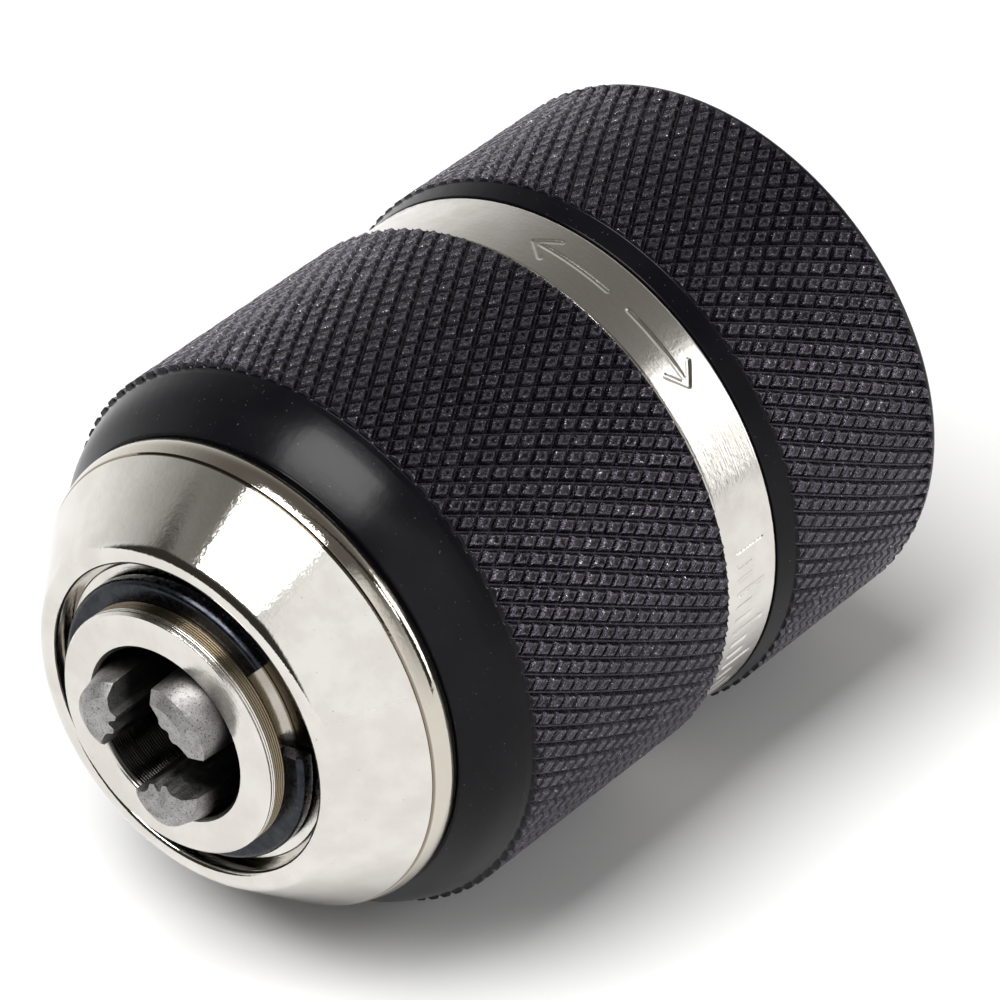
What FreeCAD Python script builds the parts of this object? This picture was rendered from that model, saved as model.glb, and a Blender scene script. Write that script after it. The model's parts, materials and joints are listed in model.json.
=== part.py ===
import FreeCAD, Part
import math
import os
import re
import Sketcher

# Keyless two-sleeve drill chuck, 2-13 mm capacity, 1/2-20 UNF spindle thread.
# Millimetres. The chuck axis lies along Y: nose toward -Y, spindle seat face at Y = 0, +Z up.

doc = FreeCAD.newDocument("drill_chuck")
sheet = doc.addObject("Spreadsheet::Sheet", "Sizes")

SIZES = [
    # chuck body
    ("face_at", -61.35, "nose face of the body"),
    ("nose_rad", 9.53, "nose radius"),
    ("face_chamfer", 0.2, "outer edge chamfer of the nose face"),
    ("mouth_rad", 6.6, "central tool bore radius"),
    ("mouth_chamfer", 0.35, "chamfer at the mouth"),
    ("bore_end", -31.0, "floor of the central tool bore"),
    ("score_depth", 0.07, "depth of the fine turned grooves on the nose"),
    ("score_pitch", 0.19, "spacing of the fine turned grooves"),
    ("ring_seat_rad", 8.8, "floor radius of the snap ring groove"),
    ("ring_seat_front", -59.6, "front wall of the snap ring groove"),
    ("ring_seat_back", -58.1, "back wall of the snap ring groove"),
    ("nose_end", -55.6, "shoulder behind the nose"),
    ("journal_rad", 13.0, "front journal radius"),
    ("journal_end", -45.3, "end of the front journal, start of the nut groove"),
    ("nut_seat_rad", 9.6, "floor radius of the nut groove"),
    ("pilot_start", -37.6, "start of the bearing pilot"),
    ("pilot_rad", 13.6, "bearing pilot radius"),
    ("flange_at", -33.7, "thrust face of the flange"),
    ("flange_rad", 18.8, "flange radius"),
    ("hub_start", -25.15, "start of the rear hub"),
    ("hub_rad", 19.0, "rear hub radius"),
    ("boss_start", -3.0, "start of the rear boss"),
    ("boss_rad", 12.5, "rear boss radius"),
    ("boss_chamfer", 0.5, "rear boss edge chamfer"),
    ("spindle_rad", 6.35, "spindle thread radius, 1/2 inch nominal"),
    ("spindle_depth", 17.0, "spindle thread depth"),
    ("screw_rad", 3.3, "clearance hole for the spindle screw"),
    # jaws and their passages
    ("jaw_turn", 40.5, "angle of the first jaw from the top, degrees"),
    ("jaw_tilt", 15.0, "jaw inclination to the chuck axis, degrees"),
    ("jaw_rad", 3.15, "jaw radius"),
    ("jaw_length", 33.4, "jaw length"),
    ("jaw_tip_at", -63.3, "centre of the jaw tip face along the chuck"),
    ("jaw_tip_out", 2.95, "distance of the tip centre from the chuck axis"),
    ("jaw_bevel", 0.75, "bevel round the jaw tip"),
    ("crest_rad", 2.95, "distance of the gripping crests from the chuck axis"),
    ("passage_rad", 3.2, "jaw passage radius"),
    ("passage_lead", 4.0, "passage length ahead of the jaw tip"),
    ("passage_end", 47.6, "passage depth behind the jaw tip"),
    ("tooth_pitch", 1.6, "jaw tooth pitch"),
    ("tooth_depth", 0.7, "jaw tooth depth"),
    ("tooth_first", 6.2, "first jaw tooth behind the tip"),
    # split nut and collar
    ("nut_front", -45.1, "nut front face"),
    ("nut_back", -37.9, "nut back face"),
    ("nut_rad", 16.2, "nut outer radius"),
    ("nut_bore_front", 11.35, "nut bore radius at the front"),
    ("nut_bore_back", 13.3, "nut bore radius at the back"),
    ("nut_span", 179.0, "angle covered by one nut half, degrees"),
    ("collar_front", -45.9, "collar front face"),
    ("collar_back", -37.95, "collar back face"),
    ("collar_rad", 18.85, "collar outer radius"),
    ("collar_bore", 16.25, "collar bore radius"),
    ("collar_lip", 14.2, "bore radius of the collar lip"),
    # thrust bearing
    ("race_bore", 13.7, "bore radius of the front race"),
    ("rear_race_bore", 14.45, "bore radius of the rear race, clear of the jaws"),
    ("race_seat_rad", 14.35, "seat radius under the rear race"),
    ("race_seat_at", -34.6, "front edge of that seat"),
    ("race_rad", 18.0, "outer radius of the races"),
    ("race_thick", 0.78, "race thickness"),
    ("ball_rad", 1.2, "ball radius"),
    ("ball_ring", 15.9, "ball circle radius"),
    ("ball_at", -35.75, "ball centre plane"),
    ("ball_count", 28, "number of balls"),
    ("ball_play", 0.03, "gap between ball and race"),
    ("cage_bore", 14.2, "cage bore radius"),
    ("cage_rad", 17.7, "cage outer radius"),
    ("cage_thick", 1.1, "cage thickness"),
    ("cage_pocket", 1.26, "cage pocket radius"),
    # front sleeve and nose cap
    ("sleeve_rad", 21.5, "front sleeve radius over the grip"),
    ("sleeve_front", -51.5, "front face of the front sleeve"),
    ("sleeve_lip", 18.4, "outer radius at the front face"),
    ("shoulder_mid_rad", 20.25, "radius half way up the shoulder"),
    ("shoulder_mid_at", -49.5, "position half way up the shoulder"),
    ("grip_start", -47.0, "start of the grip"),
    ("shoulder_drop", 0.25, "step between the shoulder and the grip"),
    ("sleeve_back", -25.25, "rear face of the front sleeve"),
    ("sleeve_bore", 18.9, "bore radius of the front sleeve"),
    ("sleeve_neck", 17.2, "bore radius at the cap spigot"),
    ("sleeve_neck_end", -46.4, "end of the cap spigot bore"),
    ("cap_edge_rad", 18.1, "rear edge radius of the nose cap"),
    ("cap_back", -51.6, "rear edge of the nose cap"),
    ("cap_rad", 18.42, "radius where the rear band of the cap bulges"),
    ("cap_bulge_at", -52.6, "position of that bulge"),
    ("cap_bulge_round", 1.6, "rounding of the bulge"),
    ("cap_waist_rad", 17.95, "radius of the cap shoulder line"),
    ("cap_waist_at", -53.8, "position of the cap shoulder line"),
    ("cap_cone_rad", 13.43, "radius where the cap cone meets the front"),
    ("cap_front", -59.45, "front of the cap"),
    ("cap_brow", 1.45, "rounding between the cone and the rim"),
    ("cap_lip", 0.5, "rounding of the opening"),
    ("cap_open", 12.15, "opening radius of the cap"),
    ("cap_flange_front", -56.95, "front of the inner flange"),
    ("cap_flange_back", -55.8, "back of the inner flange"),
    ("cap_flange_bore", 9.6, "bore of the inner flange"),
    ("cap_inside", 13.4, "inner cavity radius behind the flange"),
    ("spigot_rad", 17.15, "cap spigot radius"),
    ("spigot_bore", 15.9, "cap spigot bore radius"),
    ("spigot_end", -47.6, "end of the cap spigot"),
    # retaining washer and snap ring
    ("washer_front", -58.05, "front face of the washer"),
    ("washer_thick", 1.0, "washer thickness"),
    ("washer_bore", 9.6, "washer bore radius"),
    ("washer_rad", 11.75, "washer outer radius"),
    ("snap_front", -59.55, "front face of the snap ring"),
    ("snap_thick", 1.4, "snap ring thickness"),
    ("snap_bore", 8.85, "snap ring inner radius"),
    ("snap_rad", 11.0, "snap ring outer radius"),
    ("snap_gap", 38.0, "gap of the snap ring, degrees"),
    ("snap_turn", 60.5, "middle of the gap from the top, degrees"),
    ("snap_round", 0.45, "rounding of the outer edges of the snap ring"),
    # band and rear sleeve
    ("band_front", -25.05, "front face of the band"),
    ("band_back", -19.3, "back face of the band"),
    ("band_rad", 20.95, "band radius"),
    ("band_bore", 19.03, "band bore radius"),
    ("band_edge", 0.2, "edge chamfer of the band"),
    ("rear_front", -19.2, "front face of the rear sleeve"),
    ("rear_lip", 21.0, "outer radius at that front face"),
    ("rear_grip_start", -17.5, "start of the rear grip"),
    ("rear_rad", 21.6, "rear sleeve radius over the grip"),
    ("rear_bore", 19.03, "bore radius of the rear sleeve"),
    ("rear_back", -0.6, "rear face of the rear sleeve"),
    ("rear_round", 0.8, "rounding of the rear edge"),
    ("rear_floor", -2.9, "inside of the rear wall"),
    ("rear_wall_bore", 12.6, "bore radius of the rear wall"),
]
SCORES = 7        # fine turned grooves on the nose
TEETH = 16        # teeth along one jaw
JAWS = 3

for row, (alias, value, note) in enumerate(SIZES, 1):
    sheet.set("A%d" % row, note)
    sheet.set("B%d" % row, str(value))
    sheet.setAlias("B%d" % row, alias)
doc.recompute()


def bound(text):
    """Turn plain size names into references to the sheet."""
    return re.sub(r"\b[a-z]\w*\b(?!\()", r"Sizes.\g<0>", text)


def size(alias):
    """Current value of one size."""
    return float(sheet.get(alias))


def plane(body, role):
    """One of the origin planes or axes of a body."""
    return [item for item in body.Origin.OriginFeatures if item.Role == role][0]


def new_body(label, turn=None):
    """A body, turned about the chuck axis by a sheet angle when one is named."""
    body = doc.addObject("PartDesign::Body", label)
    body.Label = label
    body.Placement = FreeCAD.Placement()
    if turn:
        body.Placement = FreeCAD.Placement(FreeCAD.Vector(), FreeCAD.Rotation(FreeCAD.Vector(0, 1, 0), 1))
        body.setExpression("Placement.Rotation.Angle", bound(turn))
    return body


def polygon(body, name, role, corners):
    """Closed outline on an origin plane; every corner is tied to sizes of the sheet."""
    sketch = body.newObject("Sketcher::SketchObject", name)
    sketch.AttachmentSupport = [(plane(body, role), "")]
    sketch.MapMode = "FlatFace"
    count = len(corners)
    turns = [2 * math.pi * k / count for k in range(count)]
    ring = [FreeCAD.Vector(30 + 9 * math.cos(turn), 9 * math.sin(turn), 0) for turn in turns]
    for k in range(count):
        sketch.addGeometry(Part.LineSegment(ring[k], ring[(k + 1) % count]), False)
    for k in range(count):
        sketch.addConstraint(Sketcher.Constraint("Coincident", k, 2, (k + 1) % count, 1))
    for k, (across, along) in enumerate(corners):
        for kind, text, value in (("DistanceX", across, ring[k].x), ("DistanceY", along, ring[k].y)):
            spot = sketch.addConstraint(Sketcher.Constraint(kind, -1, 1, k, 1, value))
            sketch.setExpression("Constraints[%d]" % spot, bound(text))
    return sketch


def turned(body, name, corners, angle=None):
    """Solid turned about the chuck axis from (radius, position) corners."""
    sketch = polygon(body, name + "_outline", "XY_Plane", corners)
    part = body.newObject("PartDesign::Revolution", name)
    part.Profile = sketch
    part.ReferenceAxis = (plane(body, "Y_Axis"), [""])
    part.Angle = 360
    if angle:
        part.Midplane = True
        part.setExpression("Angle", bound(angle))
    doc.recompute()
    return part


def edges_near(shape, spots):
    """Names of the circular edges at the given (radius, position) pairs."""
    names = []
    for number, edge in enumerate(shape.Edges, 1):
        point = edge.valueAt(edge.FirstParameter)
        away = math.hypot(point.x, point.z)
        if len(edge.Vertexes) > 1 and abs(edge.valueAt(edge.LastParameter).y - point.y) > 1e-6:
            continue
        if any(abs(away - rad) < 1e-3 and abs(point.y - at) < 1e-3 for rad, at in spots):
            names.append("Edge%d" % number)
    return names


def dress(body, base, kind, name, spots, amount):
    """Fillet or chamfer on the circular edges at the given spots."""
    feature = body.newObject("PartDesign::" + kind, name)
    feature.Base = (base, edges_near(base.Shape, spots))
    feature.setExpression("Radius" if kind == "Fillet" else "Size", bound(amount))
    doc.recompute()
    return feature


def tilted(feature):
    """Lay a cylinder along the direction of a jaw."""
    feature.Placement = FreeCAD.Placement(FreeCAD.Vector(), FreeCAD.Rotation(FreeCAD.Vector(1, 0, 0), -75))
    feature.setExpression("Placement.Rotation.Angle", bound("jaw_tilt - 90"))


# ---- chuck body -------------------------------------------------------------------------------
def nose_scores():
    """Corners of the fine turned grooves, from the face backward."""
    corners = []
    for k in range(SCORES):
        start = "face_at + face_chamfer + %.2f + %d * score_pitch" % (0.12, k)
        corners += [("nose_rad", start),
                    ("nose_rad - score_depth", start + " + score_pitch * 0.35"),
                    ("nose_rad", start + " + score_pitch * 0.7")]
    return corners


body = new_body("body", "jaw_turn")
blank = turned(body, "body_blank", [
    ("mouth_rad", "bore_end"),
    ("mouth_rad", "face_at + mouth_chamfer"),
    ("mouth_rad + mouth_chamfer", "face_at"),
    ("nose_rad - face_chamfer", "face_at"),
    ("nose_rad", "face_at + face_chamfer"),
] + nose_scores() + [
    ("nose_rad", "ring_seat_front"),
    ("ring_seat_rad", "ring_seat_front"),
    ("ring_seat_rad", "ring_seat_back"),
    ("nose_rad", "ring_seat_back"),
    ("nose_rad", "nose_end"),
    ("journal_rad", "nose_end"),
    ("journal_rad", "journal_end"),
    ("nut_seat_rad", "journal_end"),
    ("nut_seat_rad", "pilot_start"),
    ("pilot_rad", "pilot_start"),
    ("pilot_rad", "race_seat_at"),
    ("race_seat_rad", "race_seat_at"),
    ("race_seat_rad", "flange_at"),
    ("flange_rad", "flange_at"),
    ("flange_rad", "hub_start"),
    ("hub_rad", "hub_start"),
    ("hub_rad", "boss_start"),
    ("boss_rad", "boss_start"),
    ("boss_rad", "-boss_chamfer"),
    ("boss_rad - boss_chamfer", "0"),
    ("spindle_rad", "0"),
    ("spindle_rad", "-spindle_depth"),
    ("screw_rad", "-spindle_depth"),
    ("screw_rad", "bore_end"),
])
passage = body.newObject("PartDesign::SubtractiveCylinder", "jaw_passage")
passage.setExpression("Radius", bound("passage_rad"))
passage.setExpression("Height", bound("passage_lead + passage_end"))
tilted(passage)
passage.setExpression("Placement.Base.y", bound("jaw_tip_at - passage_lead * cos(jaw_tilt)"))
passage.setExpression("Placement.Base.z", bound("jaw_tip_out - passage_lead * sin(jaw_tilt)"))
doc.recompute()
passages = body.newObject("PartDesign::PolarPattern", "jaw_passages")
passages.Originals = [passage]
passages.Axis = (plane(body, "Y_Axis"), [""])
passages.Angle = 360
passages.Occurrences = JAWS
body.Tip = passages
doc.recompute()


# ---- jaws -------------------------------------------------------------------------------------
def grip_outline():
    """Gripping side seen along the chuck: two crests, a slot between them and stepped flanks."""
    half = [("0.12", "0.44"), ("0.40", "0.04"), ("0.50", "0"), ("0.82", "0"), ("1.05", "0.42"),
            ("1.3", "0.58"), ("4.0", "1.2")]
    right = [(across, "crest_rad + " + rise) for across, rise in half]
    left = [("-" + across, rise) for across, rise in reversed(right)]
    return left + right + [("4.0", "crest_rad - 6"), ("-4.0", "crest_rad - 6")]


def make_jaw(number):
    """One jaw, built at the top of the chuck and turned to its place."""
    label = "jaw_%d" % number
    jaw = new_body(label, "jaw_turn + %d" % (120 * (number - 1)))
    rod = jaw.newObject("PartDesign::AdditiveCylinder", label + "_rod")
    rod.setExpression("Radius", bound("jaw_rad"))
    rod.setExpression("Height", bound("jaw_length"))
    tilted(rod)
    rod.setExpression("Placement.Base.y", bound("jaw_tip_at"))
    rod.setExpression("Placement.Base.z", bound("jaw_tip_out"))
    doc.recompute()
    bevel = jaw.newObject("PartDesign::Chamfer", label + "_bevel")
    tip = min(range(len(rod.Shape.Edges)),
              key=lambda k: rod.Shape.Edges[k].CenterOfMass.y + 99 * (len(rod.Shape.Edges[k].Vertexes) > 1))
    bevel.Base = (rod, ["Edge%d" % (tip + 1)])
    bevel.setExpression("Size", bound("jaw_bevel"))
    doc.recompute()
    outline = polygon(jaw, label + "_grip_outline", "XZ_Plane", grip_outline())
    grip = jaw.newObject("PartDesign::Pocket", label + "_grip")
    grip.Profile = outline
    grip.Type = "ThroughAll"
    grip.Midplane = True
    doc.recompute()
    notch = polygon(jaw, label + "_tooth_outline", "YZ_Plane", [
        ("jaw_tip_at + tooth_first * cos(jaw_tilt) + %s" % along,
         "jaw_tip_out + tooth_first * sin(jaw_tilt) + jaw_rad / cos(jaw_tilt) + %s" % up)
        for along, up in (
            ("0", "0.3"), ("tooth_pitch / 2 - 0.1", "-tooth_depth"),
            ("tooth_pitch / 2 + 0.1", "-tooth_depth"), ("tooth_pitch", "0.3 + tooth_pitch * 0.26"))])
    tooth = jaw.newObject("PartDesign::Groove", label + "_tooth")
    tooth.Profile = notch
    tooth.ReferenceAxis = (plane(jaw, "Y_Axis"), [""])
    tooth.Angle = 90
    tooth.Midplane = True
    doc.recompute()
    slope = jaw.newObject("PartDesign::Line", label + "_slope")
    slope.Placement = FreeCAD.Placement(FreeCAD.Vector(), FreeCAD.Rotation(FreeCAD.Vector(1, 0, 0), -75))
    slope.setExpression("Placement.Rotation.Angle", bound("jaw_tilt - 90"))
    teeth = jaw.newObject("PartDesign::LinearPattern", label + "_teeth")
    teeth.Originals = [tooth]
    teeth.Direction = (slope, [""])
    teeth.Length = 1
    teeth.setExpression("Length", bound("tooth_pitch * %d" % (TEETH - 1)))
    teeth.Occurrences = TEETH
    jaw.Tip = teeth
    doc.recompute()
    return jaw


jaws = [make_jaw(number) for number in (1, 2, 3)]


# ---- split nut and its collar -----------------------------------------------------------------
def make_nut_half(number):
    """Half of the split nut."""
    label = "nut_half_%d" % number
    half = new_body(label, "jaw_turn + %d" % (90 + 180 * (number - 1)))
    turned(half, label + "_ring", [
        ("nut_bore_front", "nut_front"),
        ("nut_rad", "nut_front"),
        ("nut_rad", "nut_back"),
        ("nut_bore_back", "nut_back"),
    ], "nut_span")
    return half


nut_halves = [make_nut_half(number) for number in (1, 2)]

collar = new_body("nut_collar")
turned(collar, "collar_ring", [
    ("collar_lip", "collar_front"),
    ("collar_rad - 0.3", "collar_front"),
    ("collar_rad", "collar_front + 0.3"),
    ("collar_rad", "collar_back"),
    ("collar_bore", "collar_back"),
    ("collar_bore", "nut_front - 0.05"),
    ("collar_lip", "nut_front - 0.05"),
])


# ---- thrust bearing ---------------------------------------------------------------------------
def make_race(label, bore, near, far):
    """Flat race washer between two positions."""
    race = new_body(label)
    turned(race, label + "_ring", [(bore, near), ("race_rad", near), ("race_rad", far), (bore, far)])
    return race


ball_reach = "ball_rad + ball_play"
front_race = make_race("race_front", "race_bore",
                       "ball_at - (%s) - race_thick" % ball_reach, "ball_at - (%s)" % ball_reach)
rear_race = make_race("race_rear", "rear_race_bore",
                      "ball_at + %s" % ball_reach, "ball_at + %s + race_thick" % ball_reach)

cage = new_body("ball_cage")
turned(cage, "cage_ring", [
    ("cage_bore", "ball_at - cage_thick / 2"),
    ("cage_rad", "ball_at - cage_thick / 2"),
    ("cage_rad", "ball_at + cage_thick / 2"),
    ("cage_bore", "ball_at + cage_thick / 2"),
])
pocket = cage.newObject("PartDesign::SubtractiveCylinder", "cage_pocket")
pocket.setExpression("Radius", bound("cage_pocket"))
pocket.setExpression("Height", bound("cage_thick * 2"))
pocket.Placement = FreeCAD.Placement(FreeCAD.Vector(), FreeCAD.Rotation(FreeCAD.Vector(1, 0, 0), -90))
pocket.setExpression("Placement.Base.y", bound("ball_at - cage_thick"))
pocket.setExpression("Placement.Base.z", bound("ball_ring"))
doc.recompute()
pockets = cage.newObject("PartDesign::PolarPattern", "cage_pockets")
pockets.Originals = [pocket]
pockets.Axis = (plane(cage, "Y_Axis"), [""])
pockets.Angle = 360
pockets.Occurrences = int(size("ball_count"))
cage.Tip = pockets
doc.recompute()

# Loose balls: many separate solids in one node.
balls = doc.addObject("Part::Feature", "bearing_balls")
balls.Label = "bearing_balls"
first_ball = Part.makeSphere(size("ball_rad"), FreeCAD.Vector(0, 0, size("ball_ring")))
ball_set = []
for k in range(int(size("ball_count"))):
    ball = first_ball.copy()
    ball.rotate(FreeCAD.Vector(), FreeCAD.Vector(0, 1, 0), 360.0 * k / size("ball_count"))
    ball_set.append(ball)
balls.Shape = Part.makeCompound(ball_set)
balls.Placement = FreeCAD.Placement(FreeCAD.Vector(0, size("ball_at"), 0), FreeCAD.Rotation())


# ---- front sleeve and nose cap ----------------------------------------------------------------
sleeve = new_body("front_sleeve")
sleeve_blank = turned(sleeve, "sleeve_blank", [
    ("sleeve_neck", "sleeve_front"),
    ("sleeve_lip", "sleeve_front"),
    ("shoulder_mid_rad", "shoulder_mid_at"),
    ("sleeve_rad - shoulder_drop", "grip_start"),
    ("sleeve_rad", "grip_start + shoulder_drop"),
    ("sleeve_rad", "sleeve_back"),
    ("sleeve_bore", "sleeve_back"),
    ("sleeve_bore", "sleeve_neck_end"),
    ("sleeve_neck", "sleeve_neck_end"),
])
dress(sleeve, sleeve_blank, "Fillet", "sleeve_shoulder",
      [(size("shoulder_mid_rad"), size("shoulder_mid_at"))], "shoulder_drop * 20")

cap = new_body("nose_cap")
cap_blank = turned(cap, "cap_blank", [
    ("spigot_rad", "cap_back"),
    ("cap_edge_rad", "cap_back"),
    ("cap_rad", "cap_bulge_at"),
    ("cap_waist_rad", "cap_waist_at"),
    ("cap_cone_rad", "cap_front"),
    ("cap_open", "cap_front"),
    ("cap_open", "cap_flange_front"),
    ("cap_flange_bore", "cap_flange_front"),
    ("cap_flange_bore", "cap_flange_back"),
    ("cap_inside", "cap_flange_back"),
    ("spigot_bore", "cap_flange_back + spigot_bore - cap_inside"),
    ("spigot_bore", "spigot_end"),
    ("spigot_rad", "spigot_end"),
])
cap_bulge = dress(cap, cap_blank, "Fillet", "cap_bulge",
                  [(size("cap_rad"), size("cap_bulge_at"))], "cap_bulge_round")
cap_brow = dress(cap, cap_bulge, "Fillet", "cap_brow",
                 [(size("cap_cone_rad"), size("cap_front"))], "cap_brow")
dress(cap, cap_brow, "Fillet", "cap_lip", [(size("cap_open"), size("cap_front"))], "cap_lip")


# ---- retaining washer and snap ring -----------------------------------------------------------
washer = new_body("retaining_washer")
turned(washer, "washer_ring", [
    ("washer_bore", "washer_front"),
    ("washer_rad - 0.12", "washer_front"),
    ("washer_rad", "washer_front + 0.12"),
    ("washer_rad", "washer_front + washer_thick"),
    ("washer_bore", "washer_front + washer_thick"),
])

snap = new_body("snap_ring", "snap_turn + 90")
snap_blank = turned(snap, "snap_blank", [
    ("snap_bore", "snap_front"),
    ("snap_rad", "snap_front"),
    ("snap_rad", "snap_front + snap_thick"),
    ("snap_bore", "snap_front + snap_thick"),
], "360 - snap_gap")
dress(snap, snap_blank, "Fillet", "snap_edges",
      [(size("snap_rad"), size("snap_front")), (size("snap_rad"), size("snap_front") + size("snap_thick"))],
      "snap_round")


# ---- band and rear sleeve ---------------------------------------------------------------------
band = new_body("band")
turned(band, "band_ring", [
    ("band_bore", "band_front"),
    ("band_rad - band_edge", "band_front"),
    ("band_rad", "band_front + band_edge"),
    ("band_rad", "band_back - band_edge"),
    ("band_rad - band_edge", "band_back"),
    ("band_bore", "band_back"),
])

rear = new_body("rear_sleeve")
rear_blank = turned(rear, "rear_blank", [
    ("rear_bore", "rear_front"),
    ("rear_lip", "rear_front"),
    ("rear_rad - 0.15", "rear_grip_start"),
    ("rear_rad", "rear_grip_start + 0.15"),
    ("rear_rad", "rear_back"),
    ("rear_wall_bore", "rear_back"),
    ("rear_wall_bore", "rear_floor"),
    ("rear_bore", "rear_floor"),
])
dress(rear, rear_blank, "Fillet", "rear_edge", [(size("rear_rad"), size("rear_back"))], "rear_round")


# ---- check and write --------------------------------------------------------------------------
parts = ([body] + jaws + nut_halves
         + [collar, front_race, rear_race, cage, balls, sleeve, cap, washer, snap, band, rear])
doc.recompute()
for item in doc.Objects:
    if "Invalid" in item.State or "Error" in item.State:
        raise RuntimeError("%s does not compute: %s" % (item.Name, item.State))
os.makedirs("parts", exist_ok=True)
for part in parts:
    shape = part.Shape
    if shape.isNull() or not shape.isValid():
        raise RuntimeError("%s has no valid shape" % part.Label)
    shape.exportStep("parts/%s.step" % part.Label)
    box = shape.BoundBox
    spans = (box.XMin, box.XMax, box.YMin, box.YMax, box.ZMin, box.ZMax)
    print("%-18s solids %2d  volume %9.1f" % (part.Label, len(shape.Solids), shape.Volume),
          " x %6.2f..%6.2f  y %6.2f..%6.2f  z %6.2f..%6.2f" % spans)
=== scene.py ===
import json
import math

import bmesh
import bpy
import numpy as np
from mathutils import Matrix, Vector


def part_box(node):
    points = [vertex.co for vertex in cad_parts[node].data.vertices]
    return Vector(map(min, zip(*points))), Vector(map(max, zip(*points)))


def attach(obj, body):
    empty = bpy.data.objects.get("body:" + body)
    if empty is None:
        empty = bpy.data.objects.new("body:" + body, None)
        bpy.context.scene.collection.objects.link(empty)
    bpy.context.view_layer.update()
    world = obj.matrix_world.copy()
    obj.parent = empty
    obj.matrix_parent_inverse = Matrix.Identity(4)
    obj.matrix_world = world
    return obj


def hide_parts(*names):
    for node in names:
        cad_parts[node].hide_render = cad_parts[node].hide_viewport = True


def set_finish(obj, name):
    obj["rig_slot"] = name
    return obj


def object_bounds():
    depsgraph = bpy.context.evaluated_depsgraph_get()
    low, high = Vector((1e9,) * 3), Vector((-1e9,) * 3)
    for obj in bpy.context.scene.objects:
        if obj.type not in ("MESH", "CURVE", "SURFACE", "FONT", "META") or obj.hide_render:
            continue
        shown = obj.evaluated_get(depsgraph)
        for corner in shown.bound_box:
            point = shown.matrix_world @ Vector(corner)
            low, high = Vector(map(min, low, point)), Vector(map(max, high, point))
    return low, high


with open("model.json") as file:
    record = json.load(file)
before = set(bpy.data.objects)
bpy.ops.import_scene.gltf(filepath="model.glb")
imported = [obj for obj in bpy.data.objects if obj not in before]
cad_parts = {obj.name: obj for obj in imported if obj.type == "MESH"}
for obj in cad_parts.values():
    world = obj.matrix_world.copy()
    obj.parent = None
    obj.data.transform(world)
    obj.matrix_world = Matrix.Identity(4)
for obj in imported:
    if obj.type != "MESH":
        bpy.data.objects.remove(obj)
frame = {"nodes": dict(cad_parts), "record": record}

MM = 0.001
cad_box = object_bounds()
nodes = frame["nodes"]
mounts = {mount["name"]: mount for mount in frame["record"]["mounts"]}


# ---- mesh helpers: the chuck axis is Y, angles run from +Z toward +X ----------------------------
def add_object(name, mesh, body, slot, *replaced, sharp=28.0):
    """Link a finished mesh, smooth it except at sharp edges, and tie it to the frame."""
    mesh.name = name
    mesh.polygons.foreach_set("use_smooth", np.ones(len(mesh.polygons), bool))
    mesh.set_sharp_from_angle(angle=math.radians(sharp))
    piece = bpy.data.objects.new(name, mesh)
    bpy.context.scene.collection.objects.link(piece)
    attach(piece, body)
    if replaced:
        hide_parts(*replaced)
    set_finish(piece, slot)
    return piece


ARC_STEP = 6          # degrees of a rounding between two of its points


def rounded(corners):
    """Outline points in mm from (radius, position, rounding) corners of a closed profile."""
    points = []
    count = len(corners)
    for k, (rad, at, turn) in enumerate(corners):
        here = Vector((rad, at))
        if not turn:
            points.append(here)
            continue
        back = (Vector(corners[k - 1][:2]) - here).normalized()
        ahead = (Vector(corners[(k + 1) % count][:2]) - here).normalized()
        half = math.acos(max(-1.0, min(1.0, back.dot(ahead)))) / 2
        middle = here + (back + ahead).normalized() * (turn / math.sin(half))
        start = here + back * (turn / math.tan(half)) - middle
        sweep = math.pi - 2 * half
        if back.x * ahead.y - back.y * ahead.x > 0:
            sweep = -sweep
        steps = max(3, int(abs(math.degrees(sweep)) / ARC_STEP))
        for step in range(steps + 1):
            turned = start.copy()
            turned.rotate(Matrix.Rotation(sweep * step / steps, 2))
            points.append(middle + turned)
    return points


def around(rad, at, angles):
    """Points in metres at the given radii (mm), positions (mm) and angles."""
    at = np.broadcast_to(at, np.shape(angles))
    return np.stack([rad * np.sin(angles), at, rad * np.cos(angles)], -1) * MM


def ring_mesh(rings, closed=True):
    """Mesh from rings[row, column]: its columns close, and its rows either close too or end in caps."""
    rows, columns = rings.shape[:2]
    index = np.arange(rows * columns).reshape(rows, columns)
    below = index if closed else index[:-1]
    above = np.roll(index, -1, 0) if closed else index[1:]
    faces = np.stack([below, above, np.roll(above, -1, 1), np.roll(below, -1, 1)], -1).reshape(-1, 4).tolist()
    if not closed:
        faces += [index[0].tolist(), index[-1].tolist()]
    mesh = bpy.data.meshes.new("rings")
    mesh.from_pydata(rings.reshape(-1, 3).tolist(), [], faces)
    shape = bmesh.new()
    shape.from_mesh(mesh)
    bmesh.ops.recalc_face_normals(shape, faces=shape.faces)
    shape.to_mesh(mesh)
    shape.free()
    return mesh


LATHE_ANGLES = np.linspace(0, 2 * math.pi, 384, endpoint=False)


def lathe(profile):
    """Ring turned about the chuck axis from the points of a closed profile."""
    return ring_mesh(np.array([around(point.x, point.y, LATHE_ANGLES) for point in profile]))


# ---- knurled sleeves ---------------------------------------------------------------------------
GROOVES = 95          # grooves of each family round a sleeve
LEAN = math.radians(30)
DEPTH = 0.42
WEAR = 0.012          # usual loss of height of a diamond's top
# one groove period: share of the period, share of the full height
KNURL_STEPS = ((0.0, 0.0), (0.045, 0.03), (0.20, 0.88),
               (0.255, 1.0), (0.745, 1.0), (0.80, 0.88), (0.955, 0.03))
CLIMBING = 3          # how many of these steps lead up to the top


def knurl_period(crest):
    """Distance along the axis from one crossing of the grooves to the next."""
    return 2 * math.pi * crest / GROOVES / math.tan(LEAN)


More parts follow.
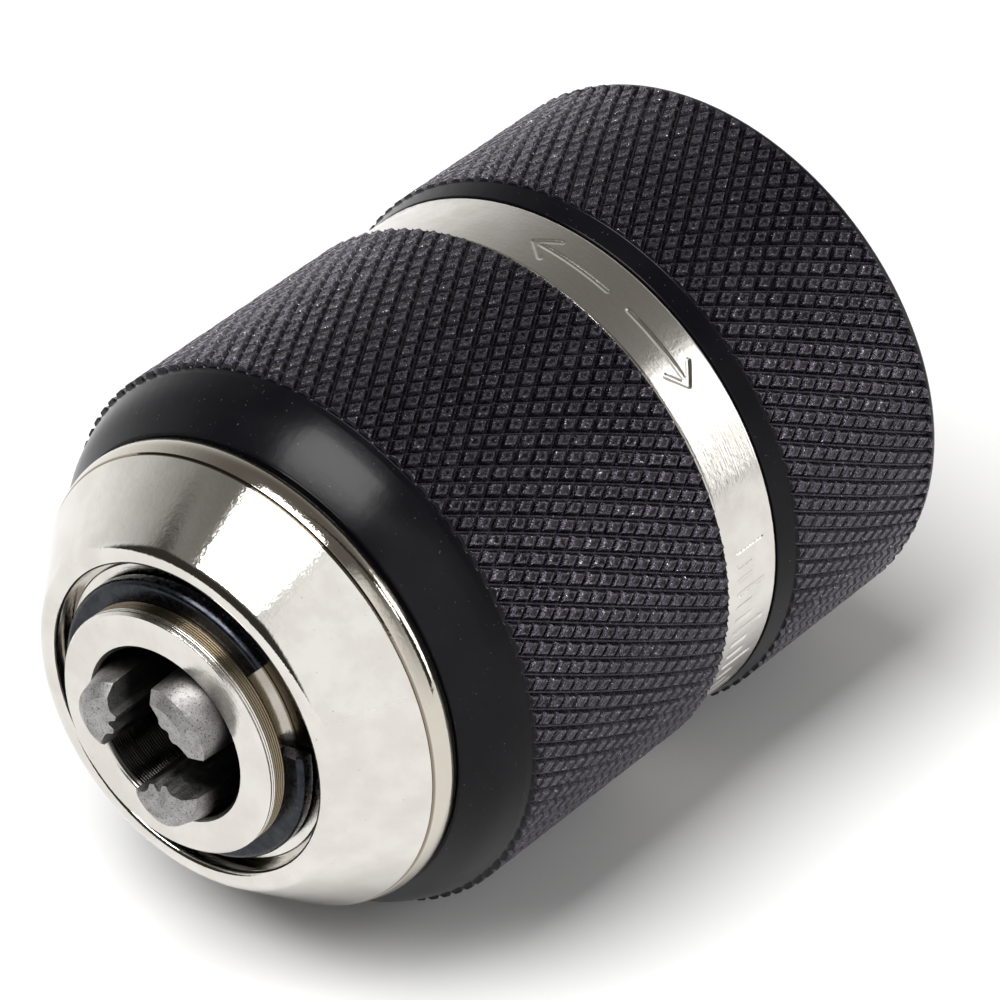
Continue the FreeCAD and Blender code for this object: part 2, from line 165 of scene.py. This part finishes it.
def knurl_band(crest, start, end, seed):
    """Open bmesh of the diamond knurl between two positions, cut square at both ends."""
    period = knurl_period(crest)
    lines = len(KNURL_STEPS)
    share, lift = np.array(KNURL_STEPS).T
    reach = int(math.ceil(2 * (end - start) / period)) + 2
    rows, columns = np.arange(-2 * lines, reach * lines), np.arange(GROOVES * lines)
    ahead, second = np.meshgrid(rows, columns, indexing="ij")
    first = second + ahead
    a = first // lines + share[first % lines]
    b = second // lines + share[second % lines]
    rng = np.random.default_rng(seed)
    jittered = rng.normal(0, 1, (GROOVES, reach + 8))
    cell = jittered[(second // lines) % GROOVES, first // lines - second // lines + 3]
    height = np.minimum(lift[first % lines], lift[second % lines])
    rad = crest - DEPTH * (1 - height) - np.where(height > 0.5, WEAR * np.abs(cell), 0)
    points = around(rad, start + period / 2 * (a - b), math.pi / GROOVES * (a + b))

    # each quad is split the way that the crease between the two families of grooves runs
    index = np.arange(first.size).reshape(first.shape)
    low, right = index[1:-1], index[2:]
    up, over = np.roll(index[:-2], -1, 1), np.roll(index[1:-1], -1, 1)
    level = (first[1:-1] % lines < CLIMBING) == (second[1:-1] % lines < CLIMBING)
    one = np.where(level[..., None], np.stack([low, right, over], -1), np.stack([low, right, up], -1))
    two = np.where(level[..., None], np.stack([low, over, up], -1), np.stack([right, over, up], -1))
    mesh = bpy.data.meshes.new("knurl")
    mesh.from_pydata(points.reshape(-1, 3).tolist(), [], np.concatenate([one, two]).reshape(-1, 3).tolist())
    cut = bmesh.new()
    cut.from_mesh(mesh)
    for place, side in ((start, -1), (end, 1)):
        geometry = cut.verts[:] + cut.edges[:] + cut.faces[:]
        bmesh.ops.bisect_plane(cut, geom=geometry, dist=1e-7, plane_co=(0, place * MM, 0),
                               plane_no=(0, side, 0), clear_outer=True)
    bpy.data.meshes.remove(mesh)
    return cut


def rim(shape, place):
    """Open edges of a shape at one position along the axis."""
    return [e for e in shape.edges if e.is_boundary and all(abs(v.co.y - place * MM) < 2e-6 for v in e.verts)]


def grow(shape, edges, profile):
    """Carry an open rim on through the points of a profile and return the last rim."""
    for point in profile:
        made = bmesh.ops.extrude_edge_only(shape, edges=edges)["geom"]
        edges = [e for e in made if isinstance(e, bmesh.types.BMEdge)]
        for v in {v for e in edges for v in e.verts}:
            angle = math.atan2(v.co.x, v.co.z)
            v.co = Vector((point.x * math.sin(angle), point.y, point.x * math.cos(angle))) * MM
    return edges


def knurled(name, slot, body, crest, start, end, front, rear, seed):
    """A sleeve: knurl, then the front outline and the rear outline, joined inside the bore."""
    shape = knurl_band(crest, start, end, seed)
    front_rim = grow(shape, rim(shape, start), front)
    rear_rim = grow(shape, rim(shape, end), rear)
    bmesh.ops.bridge_loops(shape, edges=front_rim + rear_rim)
    bmesh.ops.recalc_face_normals(shape, faces=shape.faces)
    mesh = bpy.data.meshes.new(name)
    shape.to_mesh(mesh)
    shape.free()
    return add_object(name + "_knurled", mesh, body, slot, name, sharp=24.0)


def outline(corners):
    """Rounded open outline: the first and last corners only steer the rounding."""
    return rounded(corners)[1:-1]


lo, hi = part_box("front_sleeve")
s_front, s_back, s_rad = lo.y / MM, hi.y / MM, hi.z / MM
s_knurl = (s_front + 4.6, s_back - 0.2)         # start and end of its knurl
s_bore, s_mouth = s_rad - 2.6, s_rad - 4.3
s_step, s_seam = s_front + 5.1, s_back - 3.0    # end of the narrow mouth, joint of the two outlines
front_sleeve = knurled(
    "front_sleeve", "black_front", "front_sleeve_set", s_rad, *s_knurl,
    outline([(s_rad, s_front + 4.7, 0), (s_rad - 0.38, s_front + 4.45, 0.05),
             (s_rad - 0.5, s_front + 4.0, 1.5), (s_rad - 1.25, s_front + 2.0, 6.0),
             (s_rad - 3.1, s_front, 0.12), (s_mouth, s_front, 0), (s_mouth, s_step, 0),
             (s_bore, s_step, 0), (s_bore, s_seam, 0), (s_bore, s_back, 0)]),
    outline([(s_rad, s_back - 0.3, 0), (s_rad - 0.3, s_back, 0.06), (s_bore, s_back, 0),
             (s_bore, s_back - 1.0, 0), (s_bore, s_seam, 0)]), seed=5)

lo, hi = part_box("rear_sleeve")
r_front, r_back, r_rad = lo.y / MM, hi.y / MM, hi.z / MM
r_knurl = (r_front + 1.75, r_back - 0.8)
r_bore, r_hole = r_rad - 2.57, r_rad - 9.0
r_wall, r_seam = r_back - 2.3, r_back - 5.0     # inner side of the rear wall, joint of the two outlines
rear_sleeve = knurled(
    "rear_sleeve", "black_rear", "chuck_body", r_rad, *r_knurl,
    outline([(r_rad, r_front + 1.8, 0), (r_rad - 0.22, r_front + 1.6, 0.1), (r_rad - 0.6, r_front, 0.1),
             (r_bore, r_front, 0), (r_bore, r_seam, 0), (r_bore, r_wall, 0)]),
    outline([(r_rad, r_back - 0.9, 0), (r_rad - 0.16, r_back - 0.72, 0), (r_rad - 0.16, r_back, 0.62),
             (r_hole, r_back, 0.15), (r_hole, r_wall, 0), (r_bore, r_wall, 0), (r_bore, r_seam, 0)]), seed=9)


# ---- nose cap and band -------------------------------------------------------------------------
lo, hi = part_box("nose_cap")
c_front, c_back, c_rad = lo.y / MM, hi.y / MM, hi.z / MM
c_skirt, c_bore, c_open, c_flange = c_rad - 1.17, c_rad - 2.42, c_rad - 6.17, c_rad - 8.72
c_crease = c_front + 5.66                       # groove between the cone and the rear band
nose_cap = add_object("nose_cap_turned", lathe(rounded([
    (c_skirt, c_front + 7.85, 0), (c_rad - 0.22, c_front + 7.85, 0.08), (c_rad + 0.1, c_front + 6.85, 1.6),
    (c_rad - 0.33, c_crease + 0.1, 0.06), (c_rad - 0.52, c_crease, 0.04),
    (c_rad - 0.47, c_crease - 0.14, 0.06), (c_rad - 4.89, c_front, 1.45),
    (c_open, c_front, 0.5), (c_open, c_front + 2.5, 0),
    (c_flange, c_front + 2.5, 0.1), (c_flange, c_front + 3.65, 0.1), (c_rad - 4.92, c_front + 3.65, 0),
    (c_bore, c_front + 6.15, 0), (c_bore, c_back, 0), (c_skirt, c_back, 0)])),
    "front_sleeve_set", "nickel_cap", "nose_cap", sharp=40.0)


MARK_DEPTH, MARK_HALF, MARK_FLANK = 0.07, 0.17, 0.1    # depth, half width and sloping edge of a stroke
ARROWS = ((4.5, -1), (13.0, 1))                 # place round the band, way it points
ARROW_FORE, ARROW_AFT, BARB_LONG, BARB_WIDE = 3.6, 3.2, 1.5, 1.25
TICKS, TICK_START, TICK_STEP, TICK_FOOT = 13, 29.3, 1.22, -1.45
LONG_TICK, SHORT_TICK = 2.9, 1.5


def band_marks(arc, along):
    """Depth of the engraved arrows and ticks at unrolled band coordinates in mm."""
    strokes = []
    for middle, way in ARROWS:
        tip, tail = middle + way * ARROW_FORE, middle - way * ARROW_AFT
        strokes.append(((tail, 0), (tip, 0)))
        strokes += [((tip, 0), (tip - way * BARB_LONG, side * BARB_WIDE)) for side in (1, -1)]
    for k in range(TICKS):
        tall = LONG_TICK if k % 3 == 0 else SHORT_TICK
        place = TICK_START + k * TICK_STEP
        strokes.append(((place, TICK_FOOT), (place, TICK_FOOT + tall)))
    away = np.full(arc.shape, np.inf)
    for (ax, ay), (bx, by) in strokes:
        length = math.hypot(bx - ax, by - ay)
        ux, uy = (bx - ax) / length, (by - ay) / length
        t = np.clip((arc - ax) * ux + (along - ay) * uy, 0, length)
        away = np.minimum(away, np.hypot(arc - ax - t * ux, along - ay - t * uy))
    return MARK_DEPTH * np.clip((MARK_HALF + MARK_FLANK / 2 - away) / MARK_FLANK, 0, 1)


# start, end and step of the mesh columns in degrees, fine where the band is engraved
BAND_COLUMNS = ((-2, 50, 0.27), (50, 77, 0.9), (77, 124, 0.27), (124, 358, 0.9))
FACE_ROWS = 56

lo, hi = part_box("band")
b_front, b_back, b_rad = lo.y / MM, hi.y / MM, hi.z / MM
b_bore, b_edge, b_corner, b_margin = b_rad - 1.92, 0.2, 0.06, 0.3
section = [(b_bore, b_front), (b_rad - b_edge, b_front), (b_rad - b_corner, b_front + b_corner)]
section += [(b_rad, at) for at in np.linspace(b_front + b_edge, b_back - b_edge, FACE_ROWS)]
section += [(b_rad - b_corner, b_back - b_corner), (b_rad - b_edge, b_back), (b_bore, b_back)]
rad, at = np.array(section).T
angles = np.concatenate([np.radians(np.arange(*columns)) for columns in BAND_COLUMNS])
turn, place = np.meshgrid(angles, at)
flat = (place > b_front + b_margin) & (place < b_back - b_margin)
depth = np.where(flat, band_marks(turn * b_rad, place - (b_front + b_back) / 2), 0)
band = add_object("band_engraved", ring_mesh(around(rad[:, None] - depth, place, turn)),
                  "chuck_body", "nickel_band", "band", sharp=30.0)


# ---- spindle thread ----------------------------------------------------------------------------
PITCH = 1.27          # 20 threads to the inch
RUN_OUT = 0.6         # plain bore left at the bottom
PER_TURN = 96         # mesh steps in a turn
SINK = 0.02           # least reach of the ridge's feet into the wall
# across the ridge: place in pitches, share of the ridge's height
RIDGE = ((-0.45, -0.06), (-0.42, 0.0), (-0.07, 1.0), (0.07, 1.0), (0.42, 0.0), (0.45, -0.06))


def spindle_thread(major, pitch, length):
    """Internal thread: a ridge wound along the bore, fading out at both ends."""
    steps = int(length / pitch * PER_TURN)
    run = np.arange(steps + 1)
    angle = 2 * math.pi * run / PER_TURN
    centre = -0.5 * pitch - run * (length - pitch) / steps
    fade = np.clip(np.minimum(run, steps - run) / (PER_TURN * 0.75), 0, 1)
    crest = 0.54 * pitch * fade
    rings = [around(major - crest * inward + (SINK if inward < 0 else 0.0), centre + pitch * place, angle)
             for place, inward in RIDGE]
    return ring_mesh(np.array(rings).transpose(1, 0, 2), closed=False)


spindle_bore = mounts["spindle_thread"]["dims"]
thread = add_object("spindle_thread_ridge",
                    spindle_thread(spindle_bore["r_mm"], PITCH, spindle_bore["length_mm"] - RUN_OUT),
                    "chuck_body", "nickel_body", sharp=30.0)


# ---- materials ---------------------------------------------------------------------------------
class Paint:
    """Small wrapper for building a node material in millimetre coordinates."""

    def __init__(self, name):
        self.material = bpy.data.materials.new(name)
        self.material.use_nodes = True
        self.tree = self.material.node_tree
        self.shader = self.tree.nodes["Principled BSDF"]
        coords = self.add("ShaderNodeTexCoord")
        self.mm = self.vector("SCALE", coords.outputs["Object"], 1 / MM)
        self.bumped = None

    def add(self, kind, **settings):
        node = self.tree.nodes.new(kind)
        for key, value in settings.items():
            setattr(node, key, value)
        return node

    def feed(self, socket, value):
        if isinstance(value, bpy.types.NodeSocket):
            self.tree.links.new(value, socket)
        else:
            socket.default_value = value

    def vector(self, operation, first, second=(0, 0, 0)):
        node = self.add("ShaderNodeVectorMath", operation=operation)
        self.feed(node.inputs[0], first)
        self.feed(node.inputs["Scale"] if operation == "SCALE" else node.inputs[1], second)
        return node.outputs[0]

    def math(self, operation, first, second=0.0):
        node = self.add("ShaderNodeMath", operation=operation)
        self.feed(node.inputs[0], first)
        self.feed(node.inputs[1], second)
        return node.outputs[0]

    def noise(self, scale, detail=3.0, rough=0.55, coords=None):
        node = self.add("ShaderNodeTexNoise")
        self.feed(node.inputs["Vector"], coords or self.mm)
        node.inputs["Scale"].default_value = scale
        node.inputs["Detail"].default_value = detail
        node.inputs["Roughness"].default_value = rough
        return node.outputs["Fac"]

    def fade(self, value, low, high, out_low=0.0, out_high=1.0):
        """Smooth step from the low value to the high one, in either direction."""
        node = self.add("ShaderNodeMapRange", interpolation_type="SMOOTHSTEP")
        self.feed(node.inputs["Value"], value)
        for key, number in (("From Min", low), ("From Max", high), ("To Min", out_low), ("To Max", out_high)):
            self.feed(node.inputs[key], number)
        return node.outputs["Result"]

    def mix(self, factor, first, second):
        node = self.add("ShaderNodeMix", data_type="RGBA")
        self.feed(node.inputs[0], factor)
        self.feed(node.inputs[6], first)
        self.feed(node.inputs[7], second)
        return node.outputs[2]

    def polar(self):
        """Distance from the chuck axis, position along it, and angle round it."""
        split = self.add("ShaderNodeSeparateXYZ")
        self.feed(split.inputs[0], self.mm)
        x, y, z = split.outputs
        away = self.math("SQRT", self.math("ADD", self.math("MULTIPLY", x, x), self.math("MULTIPLY", z, z)))
        return away, y, self.math("ARCTAN2", x, z)

    def turned(self, fine, turn=0.3):
        """Coordinates that stretch a noise round the axis, as turning marks are."""
        away, along, angle = self.polar()
        join = self.add("ShaderNodeCombineXYZ")
        self.feed(join.inputs[0], self.math("MULTIPLY", away, fine))
        self.feed(join.inputs[1], self.math("MULTIPLY", along, fine))
        self.feed(join.inputs[2], self.math("MULTIPLY", angle, turn))
        return join.outputs[0]

    def bump(self, height, distance):
        """Relief of the given depth in mm, laid over any relief added before it."""
        node = self.add("ShaderNodeBump")
        node.inputs["Strength"].default_value = 1.0
        node.inputs["Distance"].default_value = distance * MM
        self.feed(node.inputs["Height"], height)
        if self.bumped:
            self.tree.links.new(self.bumped, node.inputs["Normal"])
        self.bumped = node.outputs["Normal"]
        self.tree.links.new(self.bumped, self.shader.inputs["Normal"])

    def set(self, **values):
        for key, value in values.items():
            self.feed(self.shader.inputs[key.replace("_", " ")], value)
        return self

    def tint(self):
        """What the base colour is fed from."""
        return self.shader.inputs["Base Color"].links[0].from_socket


def rgb(red, green, blue):
    return (red, green, blue, 1.0)


def nickel(name, rough, turning=0.0):
    """Nickel plate: warm metal, cloudy roughness, orange peel, small dark pits."""
    p = Paint(name)
    cloud = p.noise(0.35, 4.0)
    tint = p.mix(p.fade(cloud, 0.35, 0.65), rgb(0.66, 0.635, 0.60), rgb(0.60, 0.575, 0.535))
    pits = p.fade(p.noise(4.5, 2.0, 0.6), 0.73, 0.79)
    tint = p.mix(pits, tint, rgb(0.16, 0.14, 0.12))
    gloss = p.math("ADD", p.fade(cloud, 0.3, 0.7, rough * 0.8, rough * 1.3), p.math("MULTIPLY", pits, 0.3))
    p.set(Metallic=1.0, Base_Color=tint, Roughness=gloss)
    p.bump(p.noise(2.6, 3.0, 0.6), 0.009)
    if turning:
        p.bump(p.noise(1.0, 2.0, 0.7, coords=p.turned(9.0)), turning)
    return p


def diamonds(p, crest, start):
    """Masks for the dish in the top of each diamond of a knurl, deeper in some by chance, and for the edge of
    the top; black_coat paints shade into the dish and a highlight along the edge.
    """
    along, angle = p.polar()[1:]
    turn = p.math("MULTIPLY", angle, GROOVES / (2 * math.pi))
    run = p.math("DIVIDE", p.math("SUBTRACT", along, start), knurl_period(crest))
    cell = p.add("ShaderNodeCombineXYZ")
    offsets = []
    for socket, way in zip(cell.inputs, ("ADD", "SUBTRACT")):
        share = p.math(way, turn, run)
        p.feed(socket, p.math("FLOOR", share))
        offsets.append(p.math("ABSOLUTE", p.math("SUBTRACT", p.math("FRACT", share), 0.5)))
    chance = p.add("ShaderNodeTexWhiteNoise", noise_dimensions="3D")
    p.feed(chance.inputs["Vector"], cell.outputs[0])
    outward = p.math("MAXIMUM", *offsets)
    jittered = p.math("ADD", outward, p.fade(p.noise(3.5, 3.0, 0.6), 0.3, 0.7, -0.07, 0.07))
    # dish: mask for the painted shade in the middle of each top; edge: mask for the painted highlight round
    # it
    dish = p.math("MULTIPLY", p.fade(jittered, 0.22, 0.08), p.fade(chance.outputs["Value"], 0.0, 1.0, 0.35, 1.0))
    edge = p.math("MULTIPLY", p.fade(jittered, 0.185, 0.235), p.fade(jittered, 0.29, 0.25))
    return dish, edge


def black_coat(name, crest, start, end):
    """Black oxide: glossy, but satin between two positions, with painted shade in the diamonds' dished tops,
    painted highlights and glints on their edges, and bright specks that are partly dust and partly painted
    glints.
    """
    p = Paint(name)
    along = p.polar()[1]
    knurl = p.math("MULTIPLY", p.fade(along, start - 0.1, start + 0.1), p.fade(along, end + 0.1, end - 0.1))
    dish, edge = diamonds(p, crest, start)
    cloud = p.fade(p.noise(0.25, 4.0), 0.35, 0.7)
    gloss = p.mix(cloud, rgb(0.0022, 0.0022, 0.0032), rgb(0.0035, 0.0034, 0.0046))
    satin = p.mix(cloud, rgb(0.036, 0.032, 0.041), rgb(0.049, 0.044, 0.055))
    # painted shade: the dished middle of each diamond top is darkened
    satin = p.mix(dish, satin, rgb(0.007, 0.006, 0.008))
    # painted highlight: a lighter line along the edge of each diamond top
    satin = p.mix(edge, satin, rgb(0.088, 0.081, 0.098))
    # bright specks, partly dust and partly painted glints, thicker on the knurl
    dust_and_glints = p.math("MULTIPLY", p.fade(p.noise(5.0, 1.0, 0.5), 0.75, 0.79), p.fade(knurl, 0.0, 1.0, 0.12, 1.0))
    # painted glints: bright specks on the lit edges of the diamonds
    glint = p.math("MULTIPLY", p.fade(p.noise(4.0, 2.0, 0.5), 0.64, 0.68), p.math("MULTIPLY", edge, knurl))
    p.set(Base_Color=p.mix(p.math("MAXIMUM", dust_and_glints, glint), p.mix(knurl, gloss, satin), rgb(0.42, 0.41, 0.42)),
          Roughness=p.fade(knurl, 0.0, 1.0, 0.2, p.fade(p.noise(3.0, 4.0), 0.3, 0.7, 0.16, 0.32)))
    p.set(Metallic=knurl, Specular_IOR_Level=0.13)
    p.bump(p.math("MULTIPLY", p.noise(4.5, 3.0, 0.65), knurl), 0.08)
    p.bump(p.math("MULTIPLY", p.math("SUBTRACT", 1.0, dish), knurl), 0.08)
    p.bump(p.noise(9.0, 3.0, 0.6), 0.002)
    p.bump(p.noise(2.0, 2.0, 0.5), 0.004)
    return p


def steel(name, tint_one, tint_two, rough_low, rough_high, grain, depth, pits=0.0):
    """Bare or blasted steel with blotches, grain and dark pits."""
    p = Paint(name)
    tint = p.mix(p.fade(p.noise(0.9, 5.0), 0.35, 0.68), tint_one, tint_two)
    if pits:
        tint = p.mix(p.fade(p.noise(7.0, 3.0, 0.7), 0.70 - pits, 0.80 - pits), tint, rgb(0.09, 0.085, 0.08))
    p.set(Metallic=1.0, Base_Color=tint, Roughness=p.fade(p.noise(2.0, 4.0), 0.3, 0.7, rough_low, rough_high))
    p.bump(p.noise(grain, 4.0, 0.65), depth)
    return p


def jaw_finish():
    """Blasted grey jaws, with painted shade making them nearly black away from the tips, down in the mouth.
    """
    p = steel("jaw_steel", rgb(0.36, 0.355, 0.35), rgb(0.25, 0.245, 0.24), 0.34, 0.46, 7.0, 0.04, 0.16)
    tip = nodes["jaw_1"].bound_box[0][1] / MM
    # painted shade: the jaws go nearly black deeper in the mouth, where little light reaches
    painted_mouth_shade = p.fade(p.polar()[1], tip + 1.3, tip + 3.0)
    return p.set(Base_Color=p.mix(painted_mouth_shade, p.tint(), rgb(0.045, 0.042, 0.04)))


def cap_finish():
    """Polished nickel cap, browner on the rear band as a painted brown reflection, with painted shade in the
    crease in front of it.
    """
    p = nickel("nickel_cap", 0.07)
    along = p.polar()[1]
    # painted reflection: the rear band is tinted brown for the brownish reflections it shows
    band_reflection_tint = p.mix(p.fade(along, c_crease - 0.06, c_crease + 0.24), p.tint(), rgb(0.55, 0.515, 0.45))
    # painted shade: a dark line in the crease between the cone and the rear band
    painted_crease_shade = p.math("MULTIPLY", p.fade(along, c_crease - 0.16, c_crease - 0.08),
                  p.fade(along, c_crease + 0.14, c_crease + 0.04))
    return p.set(Base_Color=p.mix(painted_crease_shade, band_reflection_tint, rgb(0.22, 0.185, 0.14)))


def washer_finish():
    """Warm nickel washer, with painted brown shade where the snap ring sits."""
    p = nickel("nickel_washer", 0.16, 0.008)
    # painted shade: the washer goes dark brown inside the snap ring, where the cap and ring shade it
    return p.set(Base_Color=p.mix(p.fade(p.polar()[0], 11.1, 10.8), p.tint(), rgb(0.10, 0.08, 0.05)))


BORE_RIDGE = 0.22     # distance between the turning ridges in the bore


def body_finish():
    """Nickel body: bright pitted face, tea-coloured grooved flank, ridged bore darkened by painted shade."""
    p = nickel("nickel_body", 0.15)
    away, along = p.polar()[:2]
    # inside: the bore behind the mouth, for its painted shade and its turning ridges
    inside = p.math("MULTIPLY", p.fade(away, 6.9, 6.65), p.fade(along, -26.0, -30.0))
    flank = p.math("MULTIPLY", p.fade(away, 9.2, 9.42), p.fade(along, -60.75, -60.6))
    flank = p.math("MULTIPLY", flank, p.fade(along, -54.0, -55.0))
    tea = p.mix(p.noise(0.5, 3.0), rgb(0.25, 0.21, 0.145), rgb(0.15, 0.12, 0.08))
    # painted shade: the bore behind the mouth is nearly black, as it lies deep in shadow
    p.set(Base_Color=p.mix(inside, p.mix(flank, p.tint(), tea), rgb(0.035, 0.032, 0.03)))
    ridge = p.math("SINE", p.math("MULTIPLY", along, 2 * math.pi / BORE_RIDGE))
    p.bump(p.math("MULTIPLY", ridge, inside), 0.016)
    p.bump(p.noise(1.0, 2.0, 0.7, coords=p.turned(7.0)), 0.006)
    return p


FINISHES = {
    "nickel_body": body_finish(),
    "nickel_cap": cap_finish(),
    "nickel_band": nickel("nickel_band", 0.17, 0.006),
    "nickel_washer": washer_finish(),
    "black_front": black_coat("black_front", s_rad, *s_knurl),
    "black_rear": black_coat("black_rear", r_rad, *r_knurl),
    "black_ring": steel("black_ring", rgb(0.02, 0.022, 0.028), rgb(0.035, 0.037, 0.044),
                        0.22, 0.34, 3.0, 0.008),
    "jaw_steel": jaw_finish(),
    "nut_steel": steel("nut_steel", rgb(0.34, 0.33, 0.32), rgb(0.24, 0.23, 0.21), 0.3, 0.45, 3.0, 0.01),
    "collar_steel": steel("collar_steel", rgb(0.42, 0.42, 0.42), rgb(0.33, 0.33, 0.33), 0.25, 0.4, 3.0, 0.01),
    "bearing_steel": steel("bearing_steel", rgb(0.62, 0.62, 0.63), rgb(0.52, 0.52, 0.53),
                           0.12, 0.22, 4.0, 0.004),
    "ball_steel": steel("ball_steel", rgb(0.8, 0.8, 0.82), rgb(0.74, 0.74, 0.76), 0.04, 0.09, 4.0, 0.001),
    "cage_brass": steel("cage_brass", rgb(0.66, 0.48, 0.2), rgb(0.56, 0.4, 0.18), 0.2, 0.34, 3.0, 0.008),
}


def dress(piece, slot):
    """Give a piece or a CAD node its one material."""
    piece.data.materials.clear()
    piece.data.materials.append(FINISHES[slot].material)


for part in frame["record"]["subparts"]:
    dress(nodes[part["node"]], part["material_slot"])
for piece in (front_sleeve, rear_sleeve, nose_cap, band, thread):
    dress(piece, piece["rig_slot"])


# ---- floor, light and camera -------------------------------------------------------------------
low, high = cad_box
middle = (low + high) / 2
FLOOR_HALF = 0.6
FLOOR_GAP = 0.02 * MM

floor_mesh = bpy.data.meshes.new("floor")
floor_mesh.from_pydata([(x * FLOOR_HALF, y * FLOOR_HALF, low.z - FLOOR_GAP)
                        for x, y in ((-1, -1), (1, -1), (1, 1), (-1, 1))], [], [(0, 1, 2, 3)])
floor = bpy.data.objects.new("floor", floor_mesh)
bpy.context.scene.collection.objects.link(floor)
floor_paint = Paint("floor_paper")
paper = floor_paint.mix(floor_paint.noise(0.01, 3.0), rgb(0.65, 0.65, 0.65), rgb(0.67, 0.67, 0.67))
floor_paint.set(Base_Color=paper, Roughness=0.9, Specular_IOR_Level=0.1)
floor_mesh.materials.append(floor_paint.material)


def facing(azimuth, elevation):
    """Unit vector toward a place seen at that azimuth (0 is -Y, 90 is +X) and elevation."""
    a, e = math.radians(azimuth), math.radians(elevation)
    return Vector((math.sin(a) * math.cos(e), -math.cos(a) * math.cos(e), math.sin(e)))


LIGHT_DISTANCE = 2.2


def softbox(name, azimuth, elevation, width, height, power):
    """White rectangular light that faces the middle of the chuck."""
    light = bpy.data.lights.new(name, "AREA")
    light.shape = "RECTANGLE"
    light.size, light.size_y = width, height
    light.energy = power
    lamp = bpy.data.objects.new(name, light)
    lamp.rotation_mode = "QUATERNION"
    lamp.location = middle + facing(azimuth, elevation) * LIGHT_DISTANCE
    lamp.rotation_quaternion = facing(azimuth, elevation).to_track_quat("Z", "Y")
    bpy.context.scene.collection.objects.link(lamp)


softbox("key", -10, 65, 1.36, 1.6, 88.0)
softbox("side", 139, 16, 0.70, 1.7, 9.0)
softbox("strip", 118, 36, 0.24, 0.60, 2.0)

world = bpy.data.worlds.new("studio")
world.use_nodes = True
bpy.context.scene.world = world


class Studio(Paint):
    """Surroundings painted by direction."""

    def __init__(self, tree):
        self.tree = tree
        way = self.vector("NORMALIZE", self.add("ShaderNodeTexCoord").outputs["Generated"])
        split = self.add("ShaderNodeSeparateXYZ")
        self.feed(split.inputs[0], way)
        self.rise = split.outputs[2]
        self.level = self.vector("NORMALIZE", self.vector("MULTIPLY", way, (1, 1, 0)))

    def toward(self, azimuth, inner, outer):
        """One within the inner angle of an azimuth, falling to zero at the outer angle."""
        node = self.add("ShaderNodeVectorMath", operation="DOT_PRODUCT")
        self.feed(node.inputs[0], self.level)
        self.feed(node.inputs[1], facing(azimuth, 0))
        return self.fade(node.outputs["Value"], math.cos(math.radians(outer)), math.cos(math.radians(inner)))

    def below(self, low, high):
        """One under the low elevation, falling to zero at the high one."""
        return self.fade(self.rise, math.sin(math.radians(low)), math.sin(math.radians(high)), 1.0, 0.0)


# white low down and dark overhead, a white stretch round azimuth 50, black ones round -20 and 122
room = Studio(world.node_tree)
general = room.mix(room.below(-15, 62), rgb(0.13, 0.12, 0.11), rgb(0.98, 0.98, 0.98))
lit = room.math("MULTIPLY", room.toward(50, 24, 42), room.below(48, 62))
general = room.mix(lit, general, rgb(1.0, 1.0, 1.0))
shade = room.math("MULTIPLY", room.toward(-20, 36, 48), room.below(34, 42))
shade = room.math("MAXIMUM", shade, room.toward(122, 7, 15))
background = world.node_tree.nodes["Background"]
room.feed(background.inputs["Color"], room.mix(shade, general, rgb(0.035, 0.032, 0.028)))
background.inputs["Strength"].default_value = 1.25

AZIMUTH, ELEVATION, DISTANCE = 39.42, 36.61, 0.461417
LENS, SENSOR = 237.46, 36.0
AIM = Vector((8.669, -3.49, 9.384)) * MM        # from the middle of the chuck
camera = bpy.data.objects.new("camera", bpy.data.cameras.new("camera"))
bpy.context.scene.collection.objects.link(camera)
back = facing(AZIMUTH, ELEVATION)
across = Vector((math.cos(math.radians(AZIMUTH)), math.sin(math.radians(AZIMUTH)), 0))
upward = back.cross(across)
camera.data.lens, camera.data.sensor_width = LENS, SENSOR
camera.data.clip_start, camera.data.clip_end = 0.01, 50.0
stance = Matrix((across, upward, back)).transposed().to_4x4()
camera.matrix_world = Matrix.Translation(middle + AIM + back * DISTANCE) @ stance
bpy.context.scene.camera = camera
bpy.context.scene.view_settings.view_transform = "Standard"
